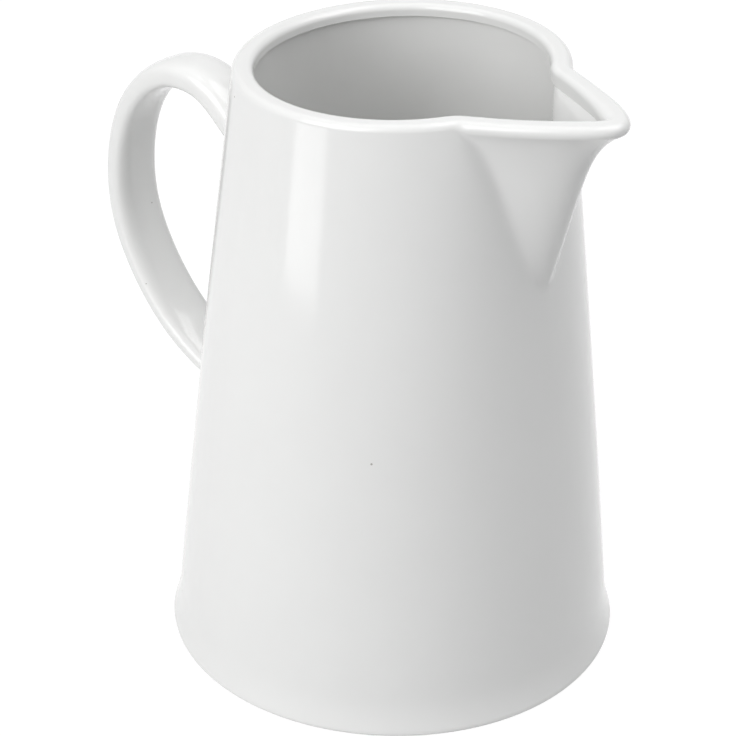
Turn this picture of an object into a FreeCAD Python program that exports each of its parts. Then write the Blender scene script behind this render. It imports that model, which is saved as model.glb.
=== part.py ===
import FreeCAD, Part
import math
import os

# A one-piece slipcast jug: a tapering body, a sloping beaded rim, a pinched V spout and a strap handle.
# Millimetres, +Z up, spout toward +X, handle toward -X, origin at the centre of the foot on the table.

# body
rim_height = 160.0          # crest of the rim, measured on the axis
foot_radius = 58.7          # greatest radius, at the foot
skirt_height = 10.0         # the foot flares out below this height
waist_radius = 56.5         # at the top of the skirt
middle_height = 80.0
middle_radius = 49.7
rim_radius = 41.1           # outside of the rim, away from the spout
rim_rise = 0.05             # how much the rim climbs for each millimetre toward the spout
wall = 4.5

# rim
bead = 5.4                  # thickness of the rim
bead_outer_round = 1.9
bead_inner_round = 1.6
bead_skirt = 1.4            # from the top of the wall down to the sharp little ledge inside

# spout
spout_reach = 66.0          # from the axis to the outside of the lip
spout_foot_height = 113.8   # where the ridge leaves the body
spout_wall = 4.5
spout_inner_round = 0.4
lip = 6.4                   # thickness of the roll at the tip
lip_outer_round = 2.15
lip_inner_round = 2.6
lip_skirt = 0.5             # the same ledge, under the tip
lip_rise = 0.5              # how much the tip stands above the slope of the rim
lip_share = 0.28            # share of the reach that comes in the last curl of the lip
lip_sharpness = 7.9
facet_slope_low = 1.25
facet_slope_top = 2.46
crease_softness = 1.8

# foot and floor
foot_round = 0.8
foot_ring = 6.0             # width of the flat ring the jug stands on
recess_depth = 2.2
recess_slope = 2.0
floor_height = 8.0
floor_round = 16.0

# handle
upper_root_drop = 41.5      # below the crest of the rim
lower_root_height = 48.7
handle_reach = 48.5         # how far the centre line stands off the line between its roots
handle_shape = (            # shares of the reach and of the height between the roots, upper root first
    (0.25, 1.139),
    (0.458, 1.228),
    (0.716, 1.219),
    (0.914, 1.097),
    (1.01, 0.907),
    (1.0, 0.655),
    (0.839, 0.401),
    (0.483, 0.149),
)
handle_thickness = (8.6, 7.0, 5.2)
handle_width = (13.8, 15.0, 16.6)
handle_squareness = 2.8
root_turn = 16.0            # nearer the wall than this the sections turn to lie along it
root_fillet = 5.0

# fineness of the surfaces
around = 88                 # points round the jug
spout_crowding = 0.62       # how closely they gather at the spout
outer_breaks = (0.0, 0.035, 0.075, 0.35, 0.64, 0.72, 0.8, 0.86, 0.91, 0.95, 0.98, 1.0)
inner_breaks = (0.0, 0.025, 0.06, 0.1, 0.16, 0.24, 0.34, 0.42, 1.0)
seam = 0.375                # the surfaces close on this share of a turn before the spout, clear of the handle
step = 0.002                # for slopes, in radians and in millimetres
handle_spans = 18
handle_sides = 24


def smooth(x):
    x = min(max(x, 0.0), 1.0)
    return x * x * (3.0 - 2.0 * x)


def mix(a, b, f):
    return a + (b - a) * f


def parabola(x, points):
    (x0, y0), (x1, y1), (x2, y2) = points
    a = y0 * (x - x1) * (x - x2) / ((x0 - x1) * (x0 - x2))
    b = y1 * (x - x0) * (x - x2) / ((x1 - x0) * (x1 - x2))
    c = y2 * (x - x0) * (x - x1) / ((x2 - x0) * (x2 - x1))
    return a + b + c


def body_radius(z):
    points = ((skirt_height, waist_radius), (middle_height, middle_radius), (rim_height, rim_radius))
    r = parabola(z, points)
    if z < skirt_height:
        r += (foot_radius - parabola(0.0, points)) * (1.0 - z / skirt_height) ** 2
    return r


def toward_lip(plain, tip, x):
    """A size that is plain round the rim and changes to its value at the tip of the lip."""
    return plain + (tip - plain) * smooth((x - rim_radius) / (spout_reach - rim_radius))


def outline_radius(angle, z, top):
    """Radius of the outside at one angle and height; top is the height where the bead begins."""
    base = body_radius(z)
    t = (z - spout_foot_height) / (top - spout_foot_height)
    if t <= 0.0 or abs(angle) > 1.2:
        return base
    nose = base + (spout_reach - rim_radius) * ((1.0 - lip_share) * t + lip_share * t**lip_sharpness)
    slope = facet_slope_low + (facet_slope_top - facet_slope_low) * t
    e = slope * (spout_wall + spout_inner_round)
    c = math.cos(angle)
    s = math.sin(angle)
    r = nose
    for _ in range(12):
        h = math.hypot(r * s, e)
        r -= (r * c - nose + slope * (h - e)) / (c + slope * r * s * s / h)
    blend = max(crease_softness - abs(r - base), 0.0) / crease_softness
    return max(r, base) + blend**3 * crease_softness / 6.0 * smooth(t * 8.0)


def inward(angle, r, before, after):
    """Horizontal unit vector square to the outline, from its radii here and a step before and after."""
    climb = (after - before) / (2.0 * step)
    tx = climb * math.cos(angle) - r * math.sin(angle)
    ty = climb * math.sin(angle) + r * math.cos(angle)
    length = math.hypot(tx, ty)
    return -ty / length, tx / length


def flare(angle, normal, climb):
    """Angle by which the wall leans out, from what its radius gains in a step up."""
    facing = -(normal[0] * math.cos(angle) + normal[1] * math.sin(angle))
    return math.atan(climb * facing / step)


def wall_top(angle):
    """Height at the top of the wall, where the bead begins, tangent to the wall."""
    z = rim_height
    for _ in range(10):
        r = outline_radius(angle, z, z)
        x = r * math.cos(angle)
        before = outline_radius(angle - step, z, z)
        normal = inward(angle, r, before, outline_radius(angle + step, z, z))
        lean = flare(angle, normal, r - outline_radius(angle, z - step, z))
        crest = rim_height + rim_rise * x + toward_lip(0.0, lip_rise, x)
        z = crest - toward_lip(bead_outer_round, lip_outer_round, x) * (1.0 + math.sin(lean))
    return z


def angles():
    out = []
    for i in range(around):
        s = 2.0 * math.pi * (i / around - seam)
        out.append(s - spout_crowding * math.sin(s))
    return out


ANGLES = angles()
TOPS = [wall_top(a) for a in ANGLES]
TOPS_BEFORE = [wall_top(a - step) for a in ANGLES]
TOPS_AFTER = [wall_top(a + step) for a in ANGLES]


def wall_point(i, z, depth):
    """The wall at this height, this far in from its outside, and its inward normal."""
    angle = ANGLES[i]
    r = outline_radius(angle, z, TOPS[i])
    before = outline_radius(angle - step, z, TOPS_BEFORE[i])
    nx, ny = inward(angle, r, before, outline_radius(angle + step, z, TOPS_AFTER[i]))
    return (r * math.cos(angle) + nx * depth, r * math.sin(angle) + ny * depth, z), (nx, ny)


def offset_row(row, normals, depths, heights):
    out = []
    for p, n, depth, z in zip(row, normals, depths, heights):
        out.append((p[0] + n[0] * depth, p[1] + n[1] * depth, z))
    return out


def even(spans):
    return [k / spans for k in range(spans + 1)]


def greville(breaks):
    """Where a clamped cubic with these breaks is sampled, from 0 to 1: one row for each pole."""
    knots = [breaks[0]] * 3 + list(breaks) + [breaks[-1]] * 3
    return [sum(knots[k + 1 : k + 4]) / 3.0 for k in range(len(breaks) + 2)]


def tube(breaks, make_row):
    """A face closed around each row, smooth from the first row to the last; make_row gives the row at a share."""
    rows = [make_row(f) for f in greville(breaks)]
    n = len(rows[0])
    poles = []
    for j in range(n):
        line = []
        for row in rows:
            p, q, s = row[j], row[j - 1], row[(j + 1) % n]
            line.append(FreeCAD.Vector(*[p[k] - (q[k] - 2.0 * p[k] + s[k]) / 6.0 for k in range(3)]))
        poles.append(line)
    surface = Part.BSplineSurface()
    surface.buildFromPolesMultsKnots(
        poles,
        [1] * (n + 1),
        [4] + [1] * (len(breaks) - 2) + [4],
        [float(k) for k in range(n + 1)],
        list(breaks),
        True,
        False,
        3,
        3,
    )
    return surface.toShape()


def ring_wire(face, last):
    """The closed edge of a tube at its first or last row."""
    surface = face.Surface
    v = surface.bounds()[3] if last else surface.bounds()[2]
    return Part.Wire(surface.vIso(v).toShape())


def wall_faces():
    span = range(around)
    top, normals = zip(*[wall_point(i, TOPS[i], 0.0) for i in span])
    outer_rounds = [toward_lip(bead_outer_round, lip_outer_round, p[0]) for p in top]
    inner_rounds = [toward_lip(bead_inner_round, lip_inner_round, p[0]) for p in top]
    leans = []
    for p, n, angle in zip(top, normals, ANGLES):
        climb = math.hypot(p[0], p[1]) - outline_radius(angle, p[2] - step, p[2])
        leans.append(flare(angle, n, climb))
    crests = [p[2] + r * (1.0 + math.sin(a)) for p, r, a in zip(top, outer_rounds, leans)]
    overhangs = [r * (1.0 - math.cos(a)) for r, a in zip(outer_rounds, leans)]
    thick = [toward_lip(bead, lip, p[0]) - out for p, out in zip(top, overhangs)]
    ledge_height = [p[2] - toward_lip(bead_skirt, lip_skirt, p[0]) for p in top]
    corner = floor_height + floor_round
    corner_radius = body_radius(corner) - wall
    corner_lean = (body_radius(corner - 1.0) - body_radius(corner + 1.0)) / 2.0
    heel_radius = body_radius(foot_round)
    ring_radius = heel_radius - foot_round - foot_ring

    def outside(f):
        return [wall_point(i, mix(foot_round, TOPS[i], f), 0.0)[0] for i in span]

    def shoulder(f):
        turns = [mix(-a, math.pi / 2.0, f) for a in leans]
        depths = [r * (1.0 - math.cos(a)) - out for r, a, out in zip(outer_rounds, turns, overhangs)]
        heights = [c - r * (1.0 - math.sin(a)) for c, r, a in zip(crests, outer_rounds, turns)]
        return offset_row(top, normals, depths, heights)

    def inner_shoulder(f):
        a = f * math.pi / 2.0
        depths = [t - r * (1.0 - math.sin(a)) for t, r in zip(thick, inner_rounds)]
        heights = [c - r * (1.0 - math.cos(a)) for c, r in zip(crests, inner_rounds)]
        return offset_row(top, normals, depths, heights)

    def inside(f):
        return [wall_point(i, mix(ledge_height[i], corner, f), wall)[0] for i in span]

    def knuckle(f):
        a = f * math.pi / 2.0
        out = corner_lean * floor_round * math.sin(a) * math.cos(a) - floor_round * (1.0 - math.cos(a))
        return circle_row(corner_radius + out, corner - floor_round * math.sin(a))

    def heel(f):
        a = f * math.pi / 2.0
        return circle_row(heel_radius - foot_round * (1.0 - math.cos(a)), foot_round * (1.0 - math.sin(a)))

    def recess(f):
        return circle_row(ring_radius - recess_slope * f, recess_depth * f)

    under_bead = offset_row(top, normals, thick, ledge_height)
    between = even(1)
    outer = tube(outer_breaks, outside)
    inner = tube(inner_breaks, inside)
    bottom = tube(even(4), knuckle)
    rounding = tube(even(2), heel)
    hollow = tube(between, recess)
    rim = [
        tube(even(4), shoulder),
        tube(between, lambda f: mix_rows(shoulder(1.0), inner_shoulder(0.0), f)),
        tube(even(3), inner_shoulder),
        tube(between, lambda f: mix_rows(inner_shoulder(1.0), under_bead, f)),
        tube(between, lambda f: mix_rows(under_bead, inside(0.0), f)),
    ]
    floor = Part.Face(ring_wire(bottom, True))
    base = Part.Face(ring_wire(hollow, True))
    rings = [ring_wire(rounding, True), ring_wire(hollow, False)]
    stand = Part.makeFace(rings, "Part::FaceMakerBullseye")
    return [outer, inner, bottom, rounding, hollow, floor, base, stand] + rim


def mix_rows(a, b, f):
    return [tuple(mix(p[k], q[k], f) for k in range(3)) for p, q in zip(a, b)]


def circle_row(r, z):
    return [(r * math.cos(a), r * math.sin(a), z) for a in ANGLES]


def solid_from(faces):
    shell = Part.makeShell(faces)
    shell.sewShape()
    solid = Part.makeSolid(shell if shell.ShapeType == "Shell" else shell.Shells[0])
    if solid.Volume < 0.0:
        solid.reverse()
    return solid


def spline(points):
    """A natural cubic through the points, as a function of a number from 0 to 1 giving place and direction."""
    n = len(points) - 1
    bends = []
    for k in (0, 1):
        upper = [0.0]
        right = [0.0]
        for i in range(1, n):
            rise = 6.0 * (points[i + 1][k] - 2.0 * points[i][k] + points[i - 1][k])
            d = 4.0 - upper[-1]
            right.append((rise - right[-1]) / d)
            upper.append(1.0 / d)
        bend = [0.0] * (n + 1)
        for i in range(n - 1, 0, -1):
            bend[i] = right[i] - upper[i] * bend[i + 1]
        bends.append(bend)

    def at(f):
        x = min(max(f, 0.0), 1.0) * n
        i = min(int(x), n - 1)
        u = x - i
        w = 1.0 - u
        place = []
        way = []
        for k in (0, 1):
            a, b = points[i][k], points[i + 1][k]
            p, q = bends[k][i] / 6.0, bends[k][i + 1] / 6.0
            place.append(w * a + u * b + (w**3 - w) * p + (u**3 - u) * q)
            way.append(b - a - (3.0 * w * w - 1.0) * p + (3.0 * u * u - 1.0) * q)
        return place, way

    return at


def handle_solid():
    top = rim_height - upper_root_drop
    low = lower_root_height
    upper = (body_radius(top) - wall / 2.0, top)
    lower = (body_radius(low) - wall / 2.0, low)
    line = [upper]
    for out, share in handle_shape:
        line.append((lower[0] + (upper[0] - lower[0]) * share + handle_reach * out, low + (top - low) * share))
    path = spline(line + [lower])

    def section(f):
        (s, z), (ds, dz) = path(f)
        length = math.hypot(ds, dz)
        ns, nz = -dz / length, ds / length
        clear = s - body_radius(z)
        lean = (body_radius(z - 1.0) - body_radius(z + 1.0)) / 2.0
        ws, wz = (-lean, 1.0) if f < 0.5 else (lean, -1.0)
        turn = smooth(1.0 - clear / root_turn)
        ms, mz = mix(ns, ws, turn), mix(nz, wz, turn)
        size = math.hypot(ms, mz)
        ms /= size
        mz /= size
        half = parabola(f, tuple(zip((0.0, 0.5, 1.0), handle_thickness))) / 2.0 / (ms * ns + mz * nz)
        flank = parabola(f, tuple(zip((0.0, 0.5, 1.0), handle_width))) / 2.0
        row = []
        for k in range(handle_sides):
            a = 2.0 * math.pi * k / handle_sides
            c, d = math.cos(a), math.sin(a)
            c = math.copysign(abs(c) ** (2.0 / handle_squareness), c) * half
            d = math.copysign(abs(d) ** (2.0 / handle_squareness), d) * flank
            row.append((-s - ms * c, d, z + mz * c))
        return row

    skin = tube(even(handle_spans), section)
    caps = [Part.Face(ring_wire(skin, last)) for last in (False, True)]
    return solid_from([skin] + caps)


jug = solid_from(wall_faces()).fuse(handle_solid()).Solids[0]
roots = [edge for edge in jug.Edges if edge.isClosed() and edge.BoundBox.XMax < -rim_radius]
jug = jug.makeFillet(root_fillet, roots).Solids[0]

os.makedirs("parts", exist_ok=True)
jug.exportStep("parts/jug.step")
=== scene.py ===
import math

import bpy
import numpy as np
from mathutils import Matrix, Vector


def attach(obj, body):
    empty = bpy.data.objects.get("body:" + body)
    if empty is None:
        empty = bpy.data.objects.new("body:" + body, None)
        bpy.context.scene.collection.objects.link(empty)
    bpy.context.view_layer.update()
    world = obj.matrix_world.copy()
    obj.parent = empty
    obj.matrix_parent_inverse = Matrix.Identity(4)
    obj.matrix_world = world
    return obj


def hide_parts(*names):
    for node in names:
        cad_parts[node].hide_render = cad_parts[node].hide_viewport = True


# A white glazed milk jug on a white floor, with its spout toward +x and its handle toward -x.
# Lengths are in millimetres until a mesh is made. The frame, lamps, floor and textures are in metres.

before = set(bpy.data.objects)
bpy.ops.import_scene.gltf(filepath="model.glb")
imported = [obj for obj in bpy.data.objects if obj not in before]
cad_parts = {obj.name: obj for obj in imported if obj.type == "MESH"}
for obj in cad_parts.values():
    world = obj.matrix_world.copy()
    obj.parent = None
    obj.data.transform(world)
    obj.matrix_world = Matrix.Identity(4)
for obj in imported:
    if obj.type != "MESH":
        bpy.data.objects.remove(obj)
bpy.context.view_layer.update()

MM = 0.001

# body
RIM_HEIGHT = 160.0
FOOT_RADIUS = 58.7
SKIRT_HEIGHT = 10.0
WAIST_RADIUS = 56.5
MIDDLE_HEIGHT = 80.0
MIDDLE_RADIUS = 49.7
RIM_RADIUS = 41.1
RIM_RISE = 0.05
WALL = 4.5

# rim
BEAD = 5.4
BEAD_OUTER_ROUND = 1.9
BEAD_INNER_ROUND = 1.6
BEAD_SKIRT = 1.4

# spout; the half angle is in radians and bounds the search for its sides
SPOUT_REACH = 65.8
SPOUT_FOOT_HEIGHT = 113.8
SPOUT_HALF_ANGLE = 1.2
SPOUT_WALL = 4.5
SPOUT_INNER_ROUND = 0.4
LIP = 6.4
LIP_OUTER_ROUND = 1.8
LIP_INNER_ROUND = 2.6
LIP_SKIRT = 0.5
LIP_RISE = 0.5
LIP_SHARE = 0.28
LIP_SHARPNESS = 8.6
FACET_SLOPE_LOW = 1.25
FACET_SLOPE_TOP = 2.46
CREASE_SOFTNESS = 1.8
CREASE_ONSET = 8.0

# foot and floor; the clay is bare up to the bare height
FOOT_ROUND = 0.8
FOOT_RING = 6.0
BARE_HEIGHT = 0.2
RECESS_DEPTH = 2.2
RECESS_SLOPE = 2.0
FLOOR_HEIGHT = 8.0
FLOOR_ROUND = 16.0

# handle; its line is given in shares of its reach and of the height between its roots, and its thickness
# and width at shares of the way from the upper root. Within the root turn of the wall its section turns to
# lie along the wall, and its fillet ends sunk this little into the wall.
UPPER_ROOT_DROP = 41.5
LOWER_ROOT_HEIGHT = 48.7
HANDLE_REACH = 48.2
HANDLE_LINE = (
    (0.25, 1.139),
    (0.458, 1.228),
    (0.716, 1.219),
    (0.914, 1.097),
    (1.01, 0.907),
    (1.0, 0.655),
    (0.839, 0.401),
    (0.483, 0.149),
)
HANDLE_THICKNESS = ((0.0, 8.6), (0.5, 7.0), (1.0, 5.2))
HANDLE_WIDTH = ((0.0, 13.8), (0.5, 15.0), (1.0, 16.6))
HANDLE_SQUARENESS = 2.8
ROOT_TURN = 16.0
ROOT_FILLET = 5.0
ROOT_SINK = 0.03

# fineness of the meshes: points round a ring, numbers of rings, and how far they gather at places
AROUND = 400
SPOUT_CROWDING = 0.5
HEEL_ROWS = 7
OUTER_ROWS = 105
OUTER_CROWDING = (0.5, 0.9)
BEAD_OUTER_ROWS = 17
BEAD_INNER_ROWS = 13
INNER_ROWS = 65
INNER_CROWDING = (0.85, 0.0)
INNER_START = 0.0015
FLOOR_ROUND_ROWS = 18
HANDLE_ROWS = 260
HANDLE_CROWDING = 0.9
HANDLE_SIDES = 96
SHARP_ANGLE = 50.0

# where single rings lie: radii in millimetres, distances in from an edge, and shares of the way across
RECESS_RADII = (1.0, 10.0, 20.0, 30.0, 40.0)
RECESS_EDGES = (1.0, 0.4)
RECESS_SHARES = (0.15, 0.5, 0.85)
FOOT_SHARES = (0.05, 0.2, 0.5, 0.8, 0.95)
BEAD_SHARES = (0.3, 0.6, 0.85, 0.95)
LEDGE_SHARES = (0.1, 0.35, 0.65, 0.9)
FLOOR_RADII = (28.0, 20.0, 10.0, 1.0)

# how finely shapes are worked out: a small step in radians or millimetres, and rounds of improvement
STEP = 0.002
OUTLINE_TRIES = 12
RIM_TRIES = 10

# glaze and bare clay: tints at two levels of a noise, and for each noise its scale, detail and roughness;
# a bump has a strength and a depth
GLAZE_TINTS = ((0.3, (0.86, 0.86, 0.848, 1.0)), (0.7, (0.88, 0.882, 0.869, 1.0)))
GLAZE_POOLING = (18.0, 3.0, 0.5)
GLAZE_SHEEN = (45.0, 2.0, 0.6)
GLAZE_ROUGHNESS = (0.11, 0.18)
GLAZE_PEEL = (90.0, 2.0, 0.5)
GLAZE_BUMP = (0.05, 0.0004)
GLAZE_IOR = 1.5
COAT_WEIGHT = 0.15
COAT_ROUGHNESS = 0.06
PINHOLE_SCALE = 55.0
PINHOLE_SIZE = 0.015
PINHOLE_COLOUR = (0.42, 0.4, 0.37, 1.0)
CLAY_TINTS = ((0.35, (0.62, 0.59, 0.54, 1.0)), (0.65, (0.74, 0.72, 0.67, 1.0)))
CLAY_GRAIN = (700.0, 4.0, 0.6)
CLAY_BUMP = (0.3, 0.0002)
CLAY_ROUGHNESS = 0.75
# sockets of a Mix node that mixes colours
MIX_FACTOR, MIX_FIRST, MIX_SECOND, MIX_RESULT = 0, 6, 7, 2

# camera
CAMERA_AZIMUTH = 39.8
CAMERA_ELEVATION = 30.08
CAMERA_ROLL = 1.0
CAMERA_DISTANCE = 743.0
CAMERA_AIM_ASIDE = -2.3
CAMERA_AIM_HEIGHT = 76.4
CAMERA_LENS = 141.96
CAMERA_SHIFT = (-0.0272, -0.0133)
CAMERA_CLIP = 0.01

# light: name, angle to the right of the camera, distance, height, size and power in metres and watts
LIGHTS = (
    ("panel", -57.0, 0.33, 0.06, (0.13, 0.08), 0.075),
    ("front_left", -48.0, 1.0, 0.72, (0.9, 0.9), 8.9),
    ("right", 60.0, 0.9, 1.0, (0.4, 0.4), 1.6),
    ("top_right", 90.0, 0.5, 1.2, (0.8, 0.8), 4.8),
    ("top", 180.0, 0.3, 1.3, (1.2, 1.2), 2.2),
)
LIGHT_AIM_HEIGHT = 0.08
AMBIENT = 0.25
AMBIENT_COLOUR = (0.96, 0.97, 1.0, 1.0)
WHITE = (1.0, 1.0, 1.0, 1.0)

# floor: the colour that lights the jug, the colour that shows its shadow, and a glow that is added to
# that one and grows from its first value to its second between two distances from the jug
FLOOR_HALF_SIZE = 3.0
FLOOR_COLOUR = (0.5, 0.5, 0.5, 1.0)
FLOOR_SHADOW_COLOUR = (0.2, 0.2, 0.2, 1.0)
FLOOR_GLOW = (0.87, 1.0)
FLOOR_GLOW_DISTANCE = (0.25, 1.2)


def smooth(x):
    """A share that eases from 0 to 1."""
    x = np.clip(x, 0.0, 1.0)
    return x * x * (3.0 - 2.0 * x)


def parabola(x, points):
    """The value at x of the parabola through three points."""
    (x0, y0), (x1, y1), (x2, y2) = points
    a = y0 * (x - x1) * (x - x2) / ((x0 - x1) * (x0 - x2))
    b = y1 * (x - x0) * (x - x2) / ((x1 - x0) * (x1 - x2))
    c = y2 * (x - x0) * (x - x1) / ((x2 - x0) * (x2 - x1))
    return a + b + c


def body_radius(z):
    """Outside radius of the round body at a height."""
    points = ((SKIRT_HEIGHT, WAIST_RADIUS), (MIDDLE_HEIGHT, MIDDLE_RADIUS), (RIM_HEIGHT, RIM_RADIUS))
    skirt = np.clip(1.0 - z / SKIRT_HEIGHT, 0.0, None)
    return parabola(z, points) + (FOOT_RADIUS - parabola(0.0, points)) * skirt**2


def body_lean(z):
    """How far the body narrows for each millimetre up."""
    return (body_radius(z - 1.0) - body_radius(z + 1.0)) / 2.0


def toward_lip(plain, lip, x):
    """A value that eases from that of the plain rim to that of the lip as x nears the tip."""
    return plain + (lip - plain) * smooth((x - RIM_RADIUS) / (SPOUT_REACH - RIM_RADIUS))


def outline_radius(angle, z, top):
    """Outside radius of the body and spout, where the wall ends at the height top."""
    base = body_radius(z)
    t = np.clip((z - SPOUT_FOOT_HEIGHT) / (top - SPOUT_FOOT_HEIGHT), 0.0, None)
    curl = (1.0 - LIP_SHARE) * t + LIP_SHARE * t**LIP_SHARPNESS
    nose = base + (SPOUT_REACH - RIM_RADIUS) * curl
    slope = FACET_SLOPE_LOW + (FACET_SLOPE_TOP - FACET_SLOPE_LOW) * t
    ridge = slope * (SPOUT_WALL + SPOUT_INNER_ROUND)
    front = (np.abs(angle) < SPOUT_HALF_ANGLE) & (t > 0.0)
    c = np.cos(np.where(front, angle, 0.0))
    s = np.sin(np.where(front, angle, 0.0))
    r = nose
    for _ in range(OUTLINE_TRIES):
        h = np.hypot(r * s, ridge)
        r = r - (r * c - nose + slope * (h - ridge)) / (c + slope * r * s * s / h)
    r = np.where(front, r, 0.0)
    blend = np.clip(CREASE_SOFTNESS - np.abs(r - base), 0.0, None) / CREASE_SOFTNESS
    return np.maximum(r, base) + blend**3 * CREASE_SOFTNESS / 6.0 * smooth(t * CREASE_ONSET)


def inward(angle, r, before, after):
    """Unit vector square to the outline and pointing in, from the radii a step before and after."""
    climb = (after - before) / (2.0 * STEP)
    x = climb * np.cos(angle) - r * np.sin(angle)
    y = climb * np.sin(angle) + r * np.cos(angle)
    along = np.stack([x, y], -1)
    along /= np.linalg.norm(along, axis=-1, keepdims=True)
    return np.stack([-along[..., 1], along[..., 0]], -1)


def flare(angle, normal, climb):
    """Angle by which the wall leans out, from its radius less that a step below."""
    facing = -(normal[:, 0] * np.cos(angle) + normal[:, 1] * np.sin(angle))
    return np.arctan(climb * facing / STEP)


def rim_section(angle):
    """Outside radius and height where the wall ends and the bead of the rim begins."""
    z = np.full_like(angle, RIM_HEIGHT)
    for _ in range(RIM_TRIES):
        r = outline_radius(angle, z, z)
        x = r * np.cos(angle)
        before = outline_radius(angle - STEP, z, z)
        normal = inward(angle, r, before, outline_radius(angle + STEP, z, z))
        tilt = flare(angle, normal, r - outline_radius(angle, z - STEP, z))
        crest = RIM_HEIGHT + RIM_RISE * x + toward_lip(0.0, LIP_RISE, x)
        z = crest - toward_lip(BEAD_OUTER_ROUND, LIP_OUTER_ROUND, x) * (1.0 + np.sin(tilt))
    return r, z


def ring(angle, r, z):
    """A ring of points, one for each angle."""
    return np.stack(np.broadcast_arrays(r * np.cos(angle), r * np.sin(angle), z), -1)


def shares(count, crowd_start, crowd_end):
    """Numbers from 0 to 1 that gather at the ends by these amounts."""
    x = np.linspace(0.0, 1.0, count)
    wave = np.sin(np.pi * x) / np.pi
    return x - crowd_start * wave * (1.0 - x) + crowd_end * wave * x


def quarter_turn(count):
    """Angles from 0 to a quarter turn."""
    return np.linspace(0.0, np.pi / 2.0, count)


def body_rows():
    """Rings of points from the middle of the foot, over the rim, to the middle of the floor inside."""
    even = np.arange(AROUND) * 2.0 * np.pi / AROUND - np.pi
    angle = even - SPOUT_CROWDING * np.sin(even)
    rim_r, rim_z = rim_section(angle)
    rim = ring(angle, rim_r, rim_z)
    rim_before = rim_section(angle - STEP)[1]
    rim_after = rim_section(angle + STEP)[1]

    def inward_at(r, z):
        """Unit vector pointing into the body, where its outside has this radius at this height."""
        before = outline_radius(angle - STEP, z, rim_before)
        return inward(angle, r, before, outline_radius(angle + STEP, z, rim_after))

    def wall_at(z, depth):
        """The wall at this height, this far in from its outside."""
        r = outline_radius(angle, z, rim_z)
        points = ring(angle, r, z)
        points[:, :2] += inward_at(r, z) * depth
        return points

    normal = inward_at(rim_r, rim_z)
    tilt = flare(angle, normal, rim_r - outline_radius(angle, rim_z - STEP, rim_z))
    outer_round = toward_lip(BEAD_OUTER_ROUND, LIP_OUTER_ROUND, rim[:, 0])
    inner_round = toward_lip(BEAD_INNER_ROUND, LIP_INNER_ROUND, rim[:, 0])
    thick = toward_lip(BEAD, LIP, rim[:, 0])
    crest = rim_z + outer_round * (1.0 + np.sin(tilt))
    overhang = outer_round * (1.0 - np.cos(tilt))

    def bead_at(depth, z):
        """The bead at this height, this far in from its outside."""
        return np.column_stack([rim[:, :2] + normal * (depth - overhang)[:, None], z])

    # the recess underneath, the foot ring and the round at its outside
    ring_out = body_radius(FOOT_ROUND) - FOOT_ROUND
    ring_in = ring_out - FOOT_RING
    recess = ring_in - RECESS_SLOPE
    rows = [ring(angle, r, RECESS_DEPTH) for r in RECESS_RADII]
    rows += [ring(angle, recess - edge, RECESS_DEPTH) for edge in RECESS_EDGES]
    rows += [ring(angle, recess + RECESS_SLOPE * f, RECESS_DEPTH * (1.0 - f)) for f in RECESS_SHARES]
    rows += [ring(angle, ring_in + FOOT_RING * f, 0.0) for f in FOOT_SHARES]
    for a in quarter_turn(HEEL_ROWS):
        rows.append(ring(angle, ring_out + FOOT_ROUND * np.sin(a), FOOT_ROUND * (1.0 - np.cos(a))))

    # the outside of the wall and the bead of the rim
    for f in shares(OUTER_ROWS, *OUTER_CROWDING)[1:]:
        rows.append(wall_at(FOOT_ROUND + (rim_z - FOOT_ROUND) * f, 0.0))
    for f in np.linspace(0.0, 1.0, BEAD_OUTER_ROWS)[1:]:
        a = -tilt + (tilt + np.pi / 2.0) * f
        rows.append(bead_at(outer_round * (1.0 - np.cos(a)), crest - outer_round * (1.0 - np.sin(a))))
    for a in quarter_turn(BEAD_INNER_ROWS):
        depth = thick - inner_round * (1.0 - np.sin(a))
        rows.append(bead_at(depth, crest - inner_round * (1.0 - np.cos(a))))
    ledge = rim_z - toward_lip(BEAD_SKIRT, LIP_SKIRT, rim[:, 0])
    side = crest - inner_round
    rows += [bead_at(thick, side + (ledge - side) * f) for f in BEAD_SHARES]

    # the ledge under the bead, the inside of the wall and the floor
    ledge_in = bead_at(thick, ledge)
    ledge_out = wall_at(ledge, WALL)
    rows += [ledge_in + (ledge_out - ledge_in) * f for f in LEDGE_SHARES]
    corner = FLOOR_HEIGHT + FLOOR_ROUND
    for f in shares(INNER_ROWS, *INNER_CROWDING):
        rows.append(wall_at(ledge + (corner - ledge) * (INNER_START + (1.0 - INNER_START) * f), WALL))
    for a in quarter_turn(FLOOR_ROUND_ROWS)[1:]:
        lean_in = body_lean(corner) * np.sin(a) * np.cos(a)
        r = body_radius(corner) - WALL + FLOOR_ROUND * (lean_in - 1.0 + np.cos(a))
        rows.append(ring(angle, r, corner - FLOOR_ROUND * np.sin(a)))
    rows += [ring(angle, r, FLOOR_HEIGHT) for r in FLOOR_RADII]
    return np.array(rows)


def spline(points):
    """A natural cubic through the points, as a function of shares from 0 to 1."""
    p = np.array(points)
    n = len(p) - 1
    band = np.eye(n + 1) * 4.0 + np.eye(n + 1, k=1) + np.eye(n + 1, k=-1)
    band[0] = band[-1] = 0.0
    band[0, 0] = band[-1, -1] = 1.0
    rise = np.zeros_like(p)
    rise[1:-1] = 6.0 * (p[2:] - 2.0 * p[1:-1] + p[:-2])
    bend = np.linalg.solve(band, rise)

    def at(f):
        """Place and direction at these shares of the way."""
        x = np.clip(f, 0.0, 1.0) * n
        i = np.minimum(x.astype(int), n - 1)
        u = (x - i)[:, None]
        w = 1.0 - u
        a, b, q, r = p[i], p[i + 1], bend[i] / 6.0, bend[i + 1] / 6.0
        place = w * a + u * b + (w**3 - w) * q + (u**3 - u) * r
        way = b - a - (3.0 * w * w - 1.0) * q + (3.0 * u * u - 1.0) * r
        return place, way

    return at


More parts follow.
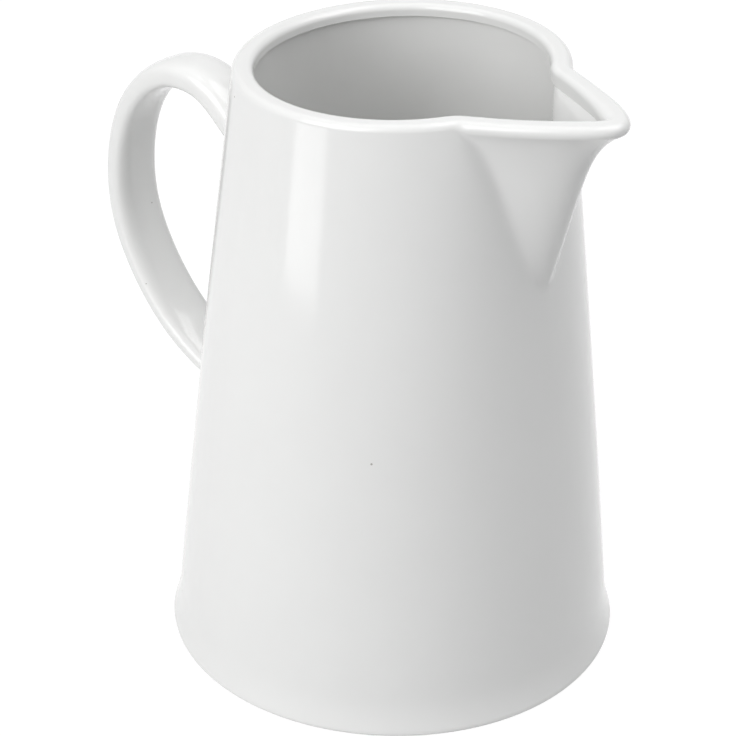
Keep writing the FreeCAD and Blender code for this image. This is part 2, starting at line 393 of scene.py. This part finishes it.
def root_point(z):
    """The middle of the wall at a height, as distance from the axis and height."""
    return np.array((body_radius(z) - WALL / 2.0, z))


def squared(x):
    """A sine or cosine pushed outward, so that a round becomes a rounded oblong."""
    return np.sign(x) * np.abs(x) ** (2.0 / HANDLE_SQUARENESS)


def handle_rows():
    """Rings of points along the handle from its upper root to its lower root."""
    upper = root_point(RIM_HEIGHT - UPPER_ROOT_DROP)
    lower = root_point(LOWER_ROOT_HEIGHT)
    line = [upper]
    for out, share in HANDLE_LINE:
        line.append(lower + (upper - lower) * share + np.array((HANDLE_REACH * out, 0.0)))
    line.append(lower)
    even = np.linspace(0.0, 1.0, HANDLE_ROWS)
    f = even - HANDLE_CROWDING * np.sin(2.0 * np.pi * even) / (2.0 * np.pi)
    place, way = spline(line)(f)
    r, z = place[:, 0], place[:, 1]
    way /= np.linalg.norm(way, axis=1, keepdims=True)
    normal = np.stack([-way[:, 1], way[:, 0]], -1)
    side = np.where(f < 0.5, 1.0, -1.0)
    up_wall = np.stack([-body_lean(z) * side, side], -1)
    turn = smooth(1.0 - (r - body_radius(z)) / ROOT_TURN)
    across = normal + (up_wall - normal) * turn[:, None]
    across /= np.linalg.norm(across, axis=1, keepdims=True)
    half = parabola(f, HANDLE_THICKNESS) / 2.0 / (across * normal).sum(1)
    flank = parabola(f, HANDLE_WIDTH) / 2.0
    a = np.arange(HANDLE_SIDES) * 2.0 * np.pi / HANDLE_SIDES
    reach = r[:, None] + (across[:, 0] * half)[:, None] * squared(np.cos(a))
    height = z[:, None] + (across[:, 1] * half)[:, None] * squared(np.cos(a))
    return filleted(np.stack([-reach, flank[:, None] * squared(np.sin(a)), height], -1))


def filleted(rows):
    """The handle spread out near the body, to meet its wall in a round that a rolling ball would leave."""
    square = np.cross(np.roll(rows, -1, 1) - np.roll(rows, 1, 1), np.gradient(rows, axis=0))
    square /= np.linalg.norm(square, axis=-1, keepdims=True)
    r = np.hypot(rows[..., 0], rows[..., 1])
    z = rows[..., 2]
    lean = body_lean(z)
    steep = np.hypot(1.0, lean)
    out = np.stack([rows[..., 0] / r, rows[..., 1] / r, lean], -1) / steep[..., None]
    rise = (r - body_radius(z)) / steep + ROOT_SINK
    facing = (square * out).sum(-1)
    aside = square - out * facing[..., None]
    width = np.linalg.norm(aside, axis=-1)
    slope = -facing / width
    length = np.hypot(1.0, slope)
    low = np.clip(rise, 0.0, ROOT_FILLET * (1.0 + slope / length))
    ball = ROOT_FILLET * (length + slope) - np.sqrt(ROOT_FILLET**2 - (low - ROOT_FILLET) ** 2)
    spread = np.where(rise > low, 0.0, ball - slope * low)
    rows = rows + aside / width[..., None] * spread[..., None]
    kept_rise = body_radius(rows[..., 2]) + (rise - ROOT_SINK) * steep
    growth = kept_rise / np.hypot(rows[..., 0], rows[..., 1])
    rows[..., :2] *= np.where(spread > 0.0, growth, 1.0)[..., None]
    return rows


def mesh_from(name, rows):
    """A smooth quad mesh through rings of points, with its end rings closed."""
    count, around = rows.shape[:2]
    faces = []
    for j in range(count - 1):
        for i in range(around):
            k = (i + 1) % around
            faces.append((j * around + i, j * around + k, (j + 1) * around + k, (j + 1) * around + i))
    faces.append(tuple(range(around))[::-1])
    faces.append(tuple(range((count - 1) * around, count * around)))
    mesh = bpy.data.meshes.new(name)
    mesh.from_pydata((rows.reshape(-1, 3) * MM).tolist(), [], faces)
    mesh.update()
    for polygon in mesh.polygons:
        polygon.use_smooth = True
    mesh.set_sharp_from_angle(angle=math.radians(SHARP_ANGLE))
    made = bpy.data.objects.new(name, mesh)
    bpy.context.collection.objects.link(made)
    return made


def new_material(name):
    """A material, its node tree and its shader."""
    material = bpy.data.materials.new(name)
    material.use_nodes = True
    return material, material.node_tree, material.node_tree.nodes["Principled BSDF"]


def node(tree, kind, **sockets):
    """A new node, with values for its sockets."""
    made = tree.nodes.new(kind)
    for name, value in sockets.items():
        made.inputs[name.replace("_", " ")].default_value = value
    return made


def noise(tree, place, kind):
    """Noise over a piece, from its scale, detail and roughness."""
    scale, detail, roughness = kind
    made = node(tree, "ShaderNodeTexNoise", Scale=scale, Detail=detail, Roughness=roughness)
    tree.links.new(place.outputs["Object"], made.inputs["Vector"])
    return made.outputs["Fac"]


def tinted(tree, level, tints):
    """A colour between two tints, by the level of a noise."""
    ramp = tree.nodes.new("ShaderNodeValToRGB")
    for element, (position, colour) in zip(ramp.color_ramp.elements, tints):
        element.position = position
        element.color = colour
    tree.links.new(level, ramp.inputs["Fac"])
    return ramp.outputs["Color"]


def bumped(tree, level, shader, strength, depth):
    """Unevenness of the surface, by the level of a noise."""
    bump = node(tree, "ShaderNodeBump", Strength=strength, Distance=depth)
    tree.links.new(level, bump.inputs["Height"])
    tree.links.new(bump.outputs["Normal"], shader.inputs["Normal"])


def pinholed(tree, place, colour):
    """A colour with a few dark dots scattered over it."""
    cells = node(tree, "ShaderNodeTexVoronoi", Scale=PINHOLE_SCALE)
    tree.links.new(place.outputs["Object"], cells.inputs["Vector"])
    dot = tree.nodes.new("ShaderNodeMath")
    dot.operation = "LESS_THAN"
    dot.inputs[1].default_value = PINHOLE_SIZE
    tree.links.new(cells.outputs["Distance"], dot.inputs[0])
    mix = tree.nodes.new("ShaderNodeMix")
    mix.data_type = "RGBA"
    mix.inputs[MIX_SECOND].default_value = PINHOLE_COLOUR
    tree.links.new(dot.outputs[0], mix.inputs[MIX_FACTOR])
    tree.links.new(colour, mix.inputs[MIX_FIRST])
    return mix.outputs[MIX_RESULT]


def glaze():
    """White glaze with a faint unevenness of tint, gloss and surface, and a few pinholes."""
    material, tree, shader = new_material("white_glaze")
    shader.inputs["IOR"].default_value = GLAZE_IOR
    shader.inputs["Coat Weight"].default_value = COAT_WEIGHT
    shader.inputs["Coat Roughness"].default_value = COAT_ROUGHNESS
    place = tree.nodes.new("ShaderNodeTexCoord")
    tint = tinted(tree, noise(tree, place, GLAZE_POOLING), GLAZE_TINTS)
    tree.links.new(pinholed(tree, place, tint), shader.inputs["Base Color"])
    least, most = GLAZE_ROUGHNESS
    rough = node(tree, "ShaderNodeMapRange", To_Min=least, To_Max=most)
    tree.links.new(noise(tree, place, GLAZE_SHEEN), rough.inputs["Value"])
    tree.links.new(rough.outputs["Result"], shader.inputs["Roughness"])
    bumped(tree, noise(tree, place, GLAZE_PEEL), shader, *GLAZE_BUMP)
    return material


def bare_clay():
    """The unglazed clay of the foot ring."""
    material, tree, shader = new_material("unglazed_foot")
    shader.inputs["Roughness"].default_value = CLAY_ROUGHNESS
    place = tree.nodes.new("ShaderNodeTexCoord")
    grain = noise(tree, place, CLAY_GRAIN)
    tree.links.new(tinted(tree, grain, CLAY_TINTS), shader.inputs["Base Color"])
    bumped(tree, grain, shader, *CLAY_BUMP)
    return material


def finish_piece(piece, *materials):
    """Gives a piece its materials and its place in the frame."""
    for material in materials:
        piece.data.materials.append(material)
    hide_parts("jug")
    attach(piece, "root")


def make_jug():
    """The body, with bare clay under its foot ring, and the handle."""
    white = glaze()
    body = mesh_from("jug_body", body_rows())
    for polygon in body.data.polygons:
        if polygon.center.z < BARE_HEIGHT * MM:
            polygon.material_index = 1
    finish_piece(body, white, bare_clay())
    handle = mesh_from("jug_handle", handle_rows())
    finish_piece(handle, white)


def seen(tree):
    """1 for rays from the camera, from gloss and through glass, and 0 for the others."""
    path = tree.nodes.new("ShaderNodeLightPath")
    total = path.outputs["Is Camera Ray"]
    for name in ("Is Glossy Ray", "Is Transmission Ray"):
        either = tree.nodes.new("ShaderNodeMath")
        either.operation = "MAXIMUM"
        tree.links.new(total, either.inputs[0])
        tree.links.new(path.outputs[name], either.inputs[1])
        total = either.outputs[0]
    return total


def shown_white(tree, plain, white, output):
    """Shows the white shader where the surroundings are seen, and the plain one as they light the jug."""
    mix = tree.nodes.new("ShaderNodeMixShader")
    tree.links.new(seen(tree), mix.inputs[0])
    tree.links.new(plain.outputs[0], mix.inputs[1])
    tree.links.new(white.outputs[0], mix.inputs[2])
    tree.links.new(mix.outputs[0], tree.nodes[output].inputs["Surface"])


def floor_glow(tree):
    """A glow that grows to full white with the distance from the jug."""
    place = tree.nodes.new("ShaderNodeNewGeometry")
    distance = tree.nodes.new("ShaderNodeVectorMath")
    distance.operation = "LENGTH"
    tree.links.new(place.outputs["Position"], distance.inputs[0])
    (near, far), (dim, full) = FLOOR_GLOW_DISTANCE, FLOOR_GLOW
    fade = node(tree, "ShaderNodeMapRange", From_Min=near, From_Max=far, To_Min=dim, To_Max=full)
    tree.links.new(distance.outputs["Value"], fade.inputs["Value"])
    glow = tree.nodes.new("ShaderNodeEmission")
    tree.links.new(fade.outputs["Result"], glow.inputs["Strength"])
    return glow


def make_floor():
    """A white floor that shows the jug's shadow."""
    mesh = bpy.data.meshes.new("floor")
    low, high = -FLOOR_HALF_SIZE, FLOOR_HALF_SIZE
    corners = [(low, low, 0.0), (high, low, 0.0), (high, high, 0.0), (low, high, 0.0)]
    mesh.from_pydata(corners, [], [(0, 1, 2, 3)])
    floor = bpy.data.objects.new("floor", mesh)
    bpy.context.collection.objects.link(floor)
    material, tree, shader = new_material("floor_white")
    tree.nodes.remove(shader)
    matt = node(tree, "ShaderNodeBsdfDiffuse", Color=FLOOR_COLOUR)
    shadowed = node(tree, "ShaderNodeBsdfDiffuse", Color=FLOOR_SHADOW_COLOUR)
    both = tree.nodes.new("ShaderNodeAddShader")
    tree.links.new(shadowed.outputs[0], both.inputs[0])
    tree.links.new(floor_glow(tree).outputs[0], both.inputs[1])
    shown_white(tree, matt, both, "Material Output")
    mesh.materials.append(material)


def make_world():
    """A white background and a soft light from all round."""
    world = bpy.data.worlds.new("studio")
    bpy.context.scene.world = world
    world.use_nodes = True
    tree = world.node_tree
    ambient = tree.nodes["Background"]
    ambient.inputs["Color"].default_value = AMBIENT_COLOUR
    ambient.inputs["Strength"].default_value = AMBIENT
    white = node(tree, "ShaderNodeBackground", Color=WHITE, Strength=1.0)
    shown_white(tree, ambient, white, "World Output")


def make_lights():
    """Soft lamps aimed at the middle of the jug."""
    aim = Vector((0.0, 0.0, LIGHT_AIM_HEIGHT))
    for name, aside, away, height, size, watts in LIGHTS:
        data = bpy.data.lights.new(name, "AREA")
        data.shape = "RECTANGLE"
        data.size, data.size_y = size
        data.energy = watts
        lamp = bpy.data.objects.new(name, data)
        bpy.context.collection.objects.link(lamp)
        a = math.radians(CAMERA_AZIMUTH + aside)
        lamp.location = (away * math.sin(a), -away * math.cos(a), height)
        lamp.rotation_euler = (aim - lamp.location).to_track_quat("-Z", "Y").to_euler()


def make_camera():
    """A camera above the floor, in front of the jug and to the side of its spout."""
    a, e, roll = (math.radians(v) for v in (CAMERA_AZIMUTH, CAMERA_ELEVATION, CAMERA_ROLL))
    ahead = Vector((-math.sin(a) * math.cos(e), math.cos(a) * math.cos(e), -math.sin(e)))
    level = Vector((math.cos(a), math.sin(a), 0.0))
    upright = level.cross(ahead)
    right = level * math.cos(roll) + upright * math.sin(roll)
    up = upright * math.cos(roll) - level * math.sin(roll)
    aim = level * CAMERA_AIM_ASIDE + Vector((0.0, 0.0, CAMERA_AIM_HEIGHT))
    data = bpy.data.cameras.new("camera")
    data.lens = CAMERA_LENS
    data.shift_x, data.shift_y = CAMERA_SHIFT
    data.clip_start = CAMERA_CLIP
    camera = bpy.data.objects.new("camera", data)
    bpy.context.collection.objects.link(camera)
    turn = Matrix((right, up, -ahead)).transposed().to_4x4()
    camera.matrix_world = Matrix.Translation((aim - ahead * CAMERA_DISTANCE) * MM) @ turn
    bpy.context.scene.camera = camera


make_camera()
make_jug()
make_floor()
make_world()
make_lights()
bpy.context.scene.view_settings.view_transform = "Standard"
